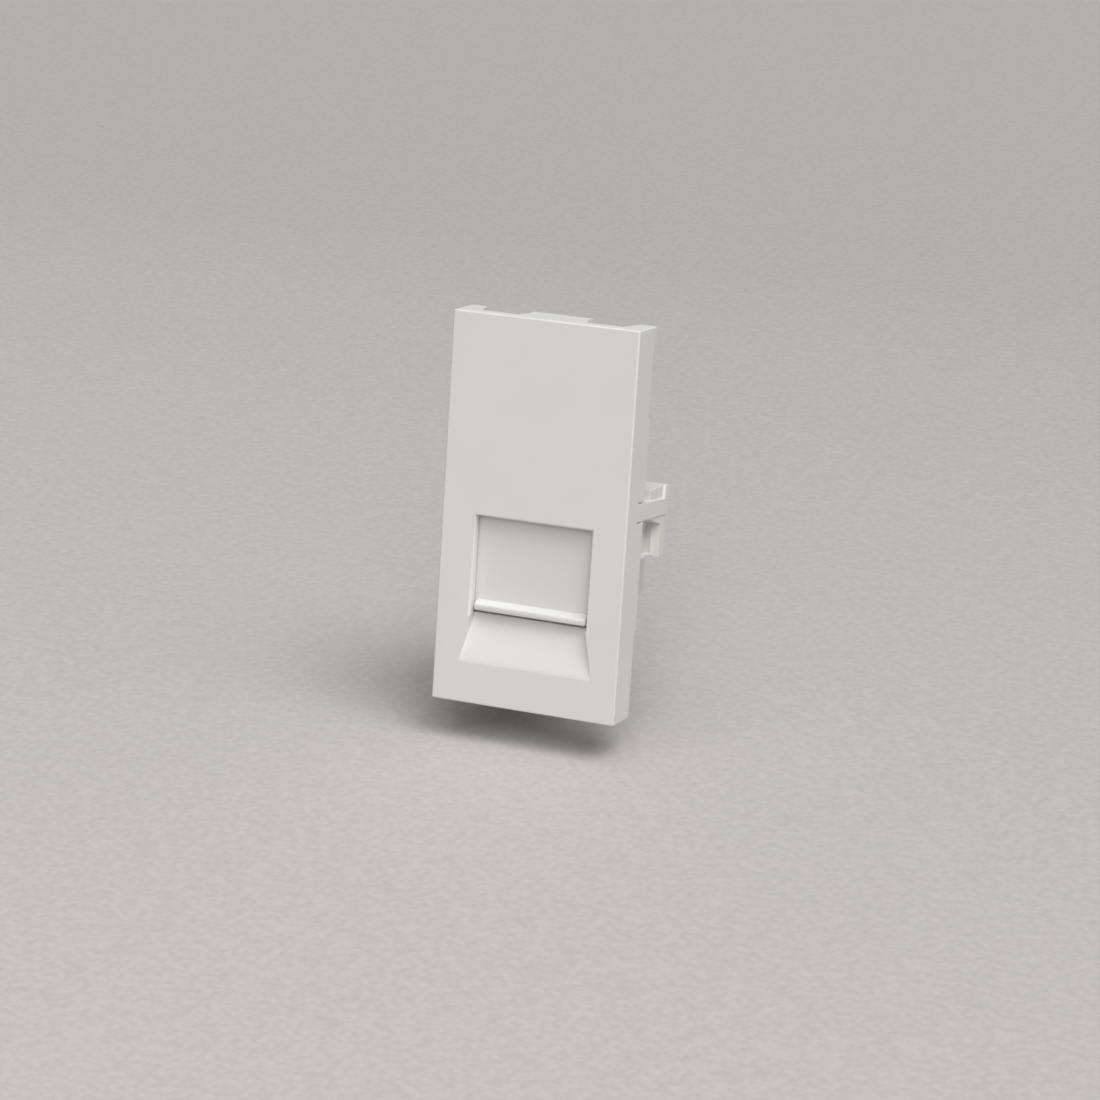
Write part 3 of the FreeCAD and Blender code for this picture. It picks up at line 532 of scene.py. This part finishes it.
def straight_on(shape, tip, step):
    """Draws the wire's end face out along a straight step."""
    drawn = bmesh.ops.extrude_face_region(shape, geom=tip)["geom"]
    ends = [g for g in drawn if isinstance(g, bmesh.types.BMVert)]
    bmesh.ops.translate(shape, verts=ends, vec=step)
    return [g for g in drawn if isinstance(g, bmesh.types.BMFace)]


def bent_round(shape, tip, centre, angle, steps):
    """Bends the wire's end face round an axis along X."""
    turned = bmesh.ops.spin(shape, geom=tip, cent=centre, axis=(1, 0, 0), angle=angle, steps=steps,
                            use_merge=False, use_duplicate=False)
    return [g for g in turned["geom_last"] if isinstance(g, bmesh.types.BMFace)]


def contact_shape(x, tail_y):
    """One bent wire from its tail above the board to its sprung end in the jack."""
    shape = bmesh.new()
    bmesh.ops.create_circle(shape, cap_ends=True, segments=WIRE_RING, radius=WIRE_R,
                            matrix=Matrix.Translation((x, tail_y, TAIL_TOP)))
    tail_end = list(shape.faces)
    tip = straight_on(shape, tail_end, (0, 0, ROOF_RUN_Z + TAIL_BEND_R - TAIL_TOP))
    bend_centre = Vector((x, tail_y - TAIL_BEND_R, ROOF_RUN_Z + TAIL_BEND_R))
    tip = bent_round(shape, tip, bend_centre, -math.pi / 2, TAIL_BEND_STEPS)
    tip = straight_on(shape, tip, (0, HAIRPIN_Y - tail_y + TAIL_BEND_R, 0))
    hairpin_centre = Vector((x, HAIRPIN_Y, ROOF_RUN_Z - HAIRPIN_R))
    tip = bent_round(shape, tip, hairpin_centre, math.pi - CONTACT_SLOPE, HAIRPIN_STEPS)
    slope = (0, CONTACT_L * math.cos(CONTACT_SLOPE), -CONTACT_L * math.sin(CONTACT_SLOPE))
    straight_on(shape, tip, slope)
    drop_inner_faces(shape)
    ends = [e for e in shape.edges if any(len(f.verts) == WIRE_RING for f in e.link_faces)]
    bmesh.ops.bevel(shape, geom=ends, offset=WIRE_END_EDGE, offset_type="OFFSET", affect="EDGES",
                    segments=EDGE_STEPS, profile=0.5, material=-1)
    bmesh.ops.recalc_face_normals(shape, faces=shape.faces)
    return shape


wire_gilt = plated_metal("wire_gilt", GILT, GILT_GLOSS, GILT_CLOUD, GILT_PIT_DEPTH)
for number, (x, tail_y) in enumerate(zip(CONTACT_X, TAIL_Y), start=1):
    fit_piece(f"contact_bent_{number}", contact_shape(x, tail_y), wire_gilt,
              "module", "contact_gilt", f"contact_wire_{number}")


# Solder joints.
# Four joints of tin solder, one round each contact tail where it comes through the board. The
# molten tin drew itself up the tail, so each has set as a hollow-sided cone.
SOLDER_GREY = (0.70, 0.70, 0.71)
SOLDER_GLOSS = (0.16, 0.34)
SOLDER_CLOUD = 0.45 * MM
SOLDER_FOOT_R = 0.8 * MM
SOLDER_H = 0.5 * MM
SOLDER_NECK_R = 0.25 * MM
SOLDER_STEPS = 8


def solder_cone(shape, x, y, floor):
    """A hollow-sided cone, spun from a curve that leaves the board nearly flat."""
    outline = []
    for step in range(SOLDER_STEPS + 1):
        lift = step / SOLDER_STEPS
        reach = SOLDER_NECK_R + (SOLDER_FOOT_R - SOLDER_NECK_R) * (1 - lift) ** 2
        outline.append(shape.verts.new((x + reach, y, floor + SOLDER_H * lift)))
    outline.append(shape.verts.new((x, y, floor + SOLDER_H)))
    outline.insert(0, shape.verts.new((x, y, floor)))
    edges = [shape.edges.new(pair) for pair in zip(outline, outline[1:])]
    bmesh.ops.spin(shape, geom=outline + edges, cent=(x, y, floor), axis=(0, 0, 1),
                   steps=RING_FACETS, angle=2 * math.pi, use_merge=True, use_duplicate=False)


solder_bright = plated_metal("solder_bright", SOLDER_GREY, SOLDER_GLOSS, SOLDER_CLOUD)
solder = bmesh.new()
for x, y in zip(CONTACT_X, TAIL_Y):
    solder_cone(solder, x, y, board_top)
bmesh.ops.remove_doubles(solder, verts=solder.verts, dist=MERGE_DIST)
bmesh.ops.recalc_face_normals(solder, faces=solder.faces)
fit_piece("solder_cones", solder, solder_bright, "module", "solder", "solder_joints")


# Terminal housing.
# A green moulded block on the board, with a round opening over each screw and a flared square
# wire entry at the back for each line wire.
TERMINAL_GREEN = (0.052, 0.205, 0.130)
TERMINAL_GLOSS = (0.36, 0.5)
terminal_satin = moulded_plastic("terminal_satin", TERMINAL_GREEN, TERMINAL_GLOSS)
fit_piece("terminal_moulding", moulded_shape("terminal_housing", MOULD_EDGE), terminal_satin,
          "module", "terminal_plastic", "terminal_housing")


# Terminal bars.
# Four tinned brass strips, each bent square: the leg is soldered in the board and the tongue
# reaches through the cage, so that a wire is pinched under it.
POLES = range(1, 5)
STAMPED_EDGE = 0.05 * MM
BAR_GLOSS = (0.28, 0.45)
bar_tin = plated_metal("bar_tin", TIN, BAR_GLOSS)
for number in POLES:
    strip = moulded_shape(f"terminal_bar_{number}", STAMPED_EDGE)
    fit_piece(f"terminal_strip_{number}", strip, bar_tin,
              "module", "bar_brass", f"terminal_bar_{number}")


# Terminal cages.
# Four nickel-plated cages, each a square loop with a threaded crown. A cage can't turn in its
# room in the housing, so it rises as its screw is turned.
CAGE_NICKEL = (0.70, 0.67, 0.61)
CAGE_GLOSS = (0.2, 0.36)
cage_nickel = plated_metal("cage_nickel", CAGE_NICKEL, CAGE_GLOSS)
for number in POLES:
    cage = moulded_shape(f"terminal_cage_{number}", STAMPED_EDGE)
    fit_piece(f"rising_cage_{number}", cage, cage_nickel,
              f"cage_{number}", "cage_plated", f"terminal_cage_{number}")


# Terminal screws.
# Four zinc-plated slotted screws, turned from rod and rolled with a fine right-hand thread. The
# housing's lid keeps each head down, so the screw turns in one place.
SCREW_ZINC = (0.60, 0.61, 0.62)
SCREW_GLOSS = (0.26, 0.42)
SCREW_CLOUD = 0.7 * MM
SCREW_R = 0.85 * MM
HEAD_H = 1.4 * MM
HEAD_EDGE = 0.14 * MM
HEAD_ROUND = 0.3
TIP_EDGE = 0.2 * MM
DRIVER_SLOT_W = 0.4 * MM
DRIVER_SLOT_D = 0.6 * MM
THREAD_PITCH = 0.4 * MM
THREAD_PROUD = 0.07 * MM
THREAD_ROOT = 0.11 * MM
THREAD_SHORT = 0.6
SCREW_FACETS = 48


def screw_body(low, high):
    """Shank and head of a screw, spun from half its outline."""
    axis_x = (low.x + high.x) / 2
    axis_y = (low.y + high.y) / 2
    head_r = (high.x - low.x) / 2
    head_foot = high.z - HEAD_H
    outline = [(0.0, low.z), (SCREW_R - TIP_EDGE, low.z), (SCREW_R, low.z + TIP_EDGE)]
    outline += [(SCREW_R, head_foot), (head_r - HEAD_EDGE / 2, head_foot)]
    outline += [(head_r, head_foot + HEAD_EDGE / 2), (head_r, high.z - HEAD_EDGE)]
    outline += [(head_r - HEAD_EDGE * HEAD_ROUND, high.z - HEAD_EDGE * HEAD_ROUND)]
    outline += [(head_r - HEAD_EDGE, high.z), (0.0, high.z)]
    shape = bmesh.new()
    corners = [shape.verts.new((axis_x + r, axis_y, z)) for r, z in outline]
    edges = [shape.edges.new(pair) for pair in zip(corners, corners[1:])]
    bmesh.ops.spin(shape, geom=corners + edges, cent=(axis_x, axis_y, 0), axis=(0, 0, 1),
                   steps=SCREW_FACETS, angle=2 * math.pi, use_merge=True, use_duplicate=False)
    bmesh.ops.remove_doubles(shape, verts=shape.verts, dist=MERGE_DIST)
    bmesh.ops.recalc_face_normals(shape, faces=shape.faces)
    return shape


def cut_driver_slot(shape, low, high):
    """Saws the driver slot across the head: opens it, then lines its walls and floor."""
    axis_x = (low.x + high.x) / 2
    floor = high.z - DRIVER_SLOT_D
    walls = (axis_x - DRIVER_SLOT_W / 2, axis_x + DRIVER_SLOT_W / 2)
    cuts = [((wall, 0, 0), (1, 0, 0)) for wall in walls] + [((0, 0, floor), (0, 0, 1))]
    for point, normal in cuts:
        everything = list(shape.verts) + list(shape.edges) + list(shape.faces)
        bmesh.ops.bisect_plane(shape, geom=everything, dist=MERGE_DIST, plane_co=point, plane_no=normal)
    waste = []
    for face in shape.faces:
        middle = face.calc_center_median()
        if walls[0] < middle.x < walls[1] and middle.z > floor:
            waste.append(face)
    bmesh.ops.delete(shape, geom=waste, context="FACES")
    for wall in walls:
        rim = []
        for edge in shape.edges:
            if edge.is_boundary and all(abs(v.co.x - wall) < MERGE_DIST for v in edge.verts):
                rim.append(edge)
        low_corners = {v for e in rim for v in e.verts if abs(v.co.z - floor) < MERGE_DIST}
        ends = sorted(low_corners, key=lambda v: v.co.y)
        rim.append(shape.edges.new((ends[0], ends[-1])))
        bmesh.ops.contextual_create(shape, geom=rim)
    bmesh.ops.holes_fill(shape, edges=[e for e in shape.edges if e.is_boundary], sides=0)
    bmesh.ops.recalc_face_normals(shape, faces=shape.faces)


def roll_thread(shape, low, high):
    """A sharp ridge wound up the shank, closed at both ends."""
    axis = Vector(((low.x + high.x) / 2, (low.y + high.y) / 2, 0))
    start = low.z + TIP_EDGE + THREAD_PITCH / 2
    turns = (high.z - HEAD_H - start) / THREAD_PITCH - THREAD_SHORT
    ridge = [(SCREW_R - THREAD_PROUD, start - THREAD_ROOT), (SCREW_R + THREAD_PROUD, start)]
    ridge.append((SCREW_R - THREAD_PROUD, start + THREAD_ROOT))
    tip = [shape.faces.new([shape.verts.new((axis.x + r, axis.y, z)) for r, z in ridge])]
    steps = round(turns * SCREW_FACETS)
    bmesh.ops.spin(shape, geom=tip, cent=axis, axis=(0, 0, 1), steps=steps,
                   angle=2 * math.pi * steps / SCREW_FACETS,
                   dvec=(0, 0, THREAD_PITCH / SCREW_FACETS), use_merge=False, use_duplicate=False)
    bmesh.ops.recalc_face_normals(shape, faces=shape.faces)


screw_zinc = plated_metal("screw_zinc", SCREW_ZINC, SCREW_GLOSS, SCREW_CLOUD)
for number in POLES:
    low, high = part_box(f"terminal_screw_{number}")
    screw = screw_body(low, high)
    cut_driver_slot(screw, low, high)
    roll_thread(screw, low, high)
    fit_piece(f"slotted_screw_{number}", screw, screw_zinc,
              f"screw_{number}", "screw_zinc", f"terminal_screw_{number}")


# Floor.
# A sheet of pale pinkish-grey paper under the module, turned by the angle at which the module leans
# back. Its colour carries a painted falloff of light: lighter near the front, darker far back. Its
# underside is clear, so that it hides nothing in views from below.
LEAN = math.radians(9.35)
FLOOR_DROP = 27.0 * MM
FLOOR_SPAN = 3.0
FLOOR_CELLS = 8
# Near and far tones of the paper: a painted falloff of the light from front to back.
FLOOR_NEAR_LIT = (0.607, 0.563, 0.564)
FLOOR_FAR_DIM = (0.452, 0.440, 0.432)
FLOOR_LIGHT_FALLOFF = (-0.12, 0.22)
FIBRE = 0.9 * MM
FIBRE_DETAIL = 5.0
FIBRE_TINTS = (0.935, 1.065)
PAPER_ROUGHNESS = 0.85
PAPER_SHINE = 0.2
floor_up = Vector((0, -math.sin(LEAN), math.cos(LEAN)))
sheet = bmesh.new()
floor_place = Matrix.Translation(-FLOOR_DROP * floor_up) @ Matrix.Rotation(LEAN, 4, "X")
bmesh.ops.create_grid(sheet, x_segments=FLOOR_CELLS, y_segments=FLOOR_CELLS, size=FLOOR_SPAN / 2,
                      matrix=floor_place)
floor_mesh = bpy.data.meshes.new("paper_floor")
sheet.to_mesh(floor_mesh)
sheet.free()
floor = bpy.data.objects.new("paper_floor", floor_mesh)
bpy.context.scene.collection.objects.link(floor)
paper, tree, shader, place = new_finish("floor_paper")
parts = tree.nodes.new("ShaderNodeSeparateXYZ")
tree.links.new(place, parts.inputs["Vector"])
# Painted falloff of light: the paper's tone runs from the lit near tone to the dim far one.
painted_falloff = spread_over(tree, parts.outputs["Y"], 0.0, 1.0, FLOOR_LIGHT_FALLOFF)
fibres = spread_over(tree, cloudy(tree, place, FIBRE, FIBRE_DETAIL), *FIBRE_TINTS)
tone = mixed(tree, painted_falloff, FLOOR_NEAR_LIT, FLOOR_FAR_DIM)
falloff_and_fibres = tree.nodes.new("ShaderNodeVectorMath")
falloff_and_fibres.operation = "SCALE"
tree.links.new(tone, falloff_and_fibres.inputs["Vector"])
tree.links.new(fibres, falloff_and_fibres.inputs["Scale"])
tree.links.new(falloff_and_fibres.outputs["Vector"], shader.inputs["Base Color"])
shader.inputs["Roughness"].default_value = PAPER_ROUGHNESS
shader.inputs["Specular IOR Level"].default_value = PAPER_SHINE
below = tree.nodes.new("ShaderNodeNewGeometry")
clear = tree.nodes.new("ShaderNodeBsdfTransparent")
seen = tree.nodes.new("ShaderNodeMixShader")
tree.links.new(below.outputs["Backfacing"], seen.inputs["Fac"])
tree.links.new(shader.outputs["BSDF"], seen.inputs[1])
tree.links.new(clear.outputs["BSDF"], seen.inputs[2])
tree.links.new(seen.outputs["Shader"], tree.nodes["Material Output"].inputs["Surface"])
floor_mesh.materials.append(paper)


# Light.
# A big soft box above the module, a smaller one above it on the right, a third lower down in
# front, and a faint even room all round. The grey backdrop is only seen, and lights nothing matt.
SOFT_BOXES = {
    "overhead_box": (Vector((0.08, -0.35, 0.93)), 1.10, math.radians(56)),
    "front_box": (Vector((0.29, -0.82, 0.49)), 0.93, math.radians(30)),
    "right_box": (Vector((0.50, -0.33, 0.80)), 1.46, math.radians(34)),
}
ROOM = (0.05, 0.05, 0.05)
BACKDROP = (0.47, 0.46, 0.45)
for name, (shines_from, strength, spread) in SOFT_BOXES.items():
    light = bpy.data.lights.new(name, "SUN")
    light.energy = strength
    light.angle = spread
    soft_box = bpy.data.objects.new(name, light)
    soft_box.rotation_euler = shines_from.to_track_quat("Z", "Y").to_euler()
    bpy.context.scene.collection.objects.link(soft_box)
room = bpy.data.worlds.new("studio_room")
room.use_nodes = True
tree = room.node_tree
even_light = tree.nodes["Background"]
even_light.inputs["Color"].default_value = (*ROOM, 1.0)
backdrop = tree.nodes.new("ShaderNodeBackground")
backdrop.inputs["Color"].default_value = (*BACKDROP, 1.0)
ray = tree.nodes.new("ShaderNodeLightPath")
shown = calculated(tree, "MAXIMUM", ray.outputs["Is Camera Ray"], ray.outputs["Is Glossy Ray"])
shown = calculated(tree, "MAXIMUM", shown, ray.outputs["Is Transmission Ray"])
seen = tree.nodes.new("ShaderNodeMixShader")
tree.links.new(shown, seen.inputs["Fac"])
tree.links.new(even_light.outputs["Background"], seen.inputs[1])
tree.links.new(backdrop.outputs["Background"], seen.inputs[2])
tree.links.new(seen.outputs["Shader"], tree.nodes["World Output"].inputs["Surface"])
bpy.context.scene.world = room
bpy.context.scene.view_settings.view_transform = "Standard"


# Camera.
# Where the photograph was taken from: in front of the module, to its right and a little above it.
# It stands upright on the floor, so the module leans back in the picture.
CAMERA_AT = Vector((148.99, -368.33, 77.77)) * MM
CAMERA_LOOK = Vector((-0.36266, 0.9101, -0.20051))
CAMERA_LENS = 117.8
CAMERA_SENSOR = 36.0
CAMERA_NEAR = 0.01
camera = bpy.data.cameras.new("photo_camera")
camera.lens = CAMERA_LENS
camera.sensor_width = CAMERA_SENSOR
camera.clip_start = CAMERA_NEAR
right = CAMERA_LOOK.cross(floor_up).normalized()
up = right.cross(CAMERA_LOOK).normalized()
turn = Matrix((right, up, -CAMERA_LOOK.normalized())).transposed().to_4x4()
viewer = bpy.data.objects.new("photo_camera", camera)
viewer.matrix_world = Matrix.Translation(CAMERA_AT) @ turn
bpy.context.scene.collection.objects.link(viewer)
bpy.context.scene.camera = viewer
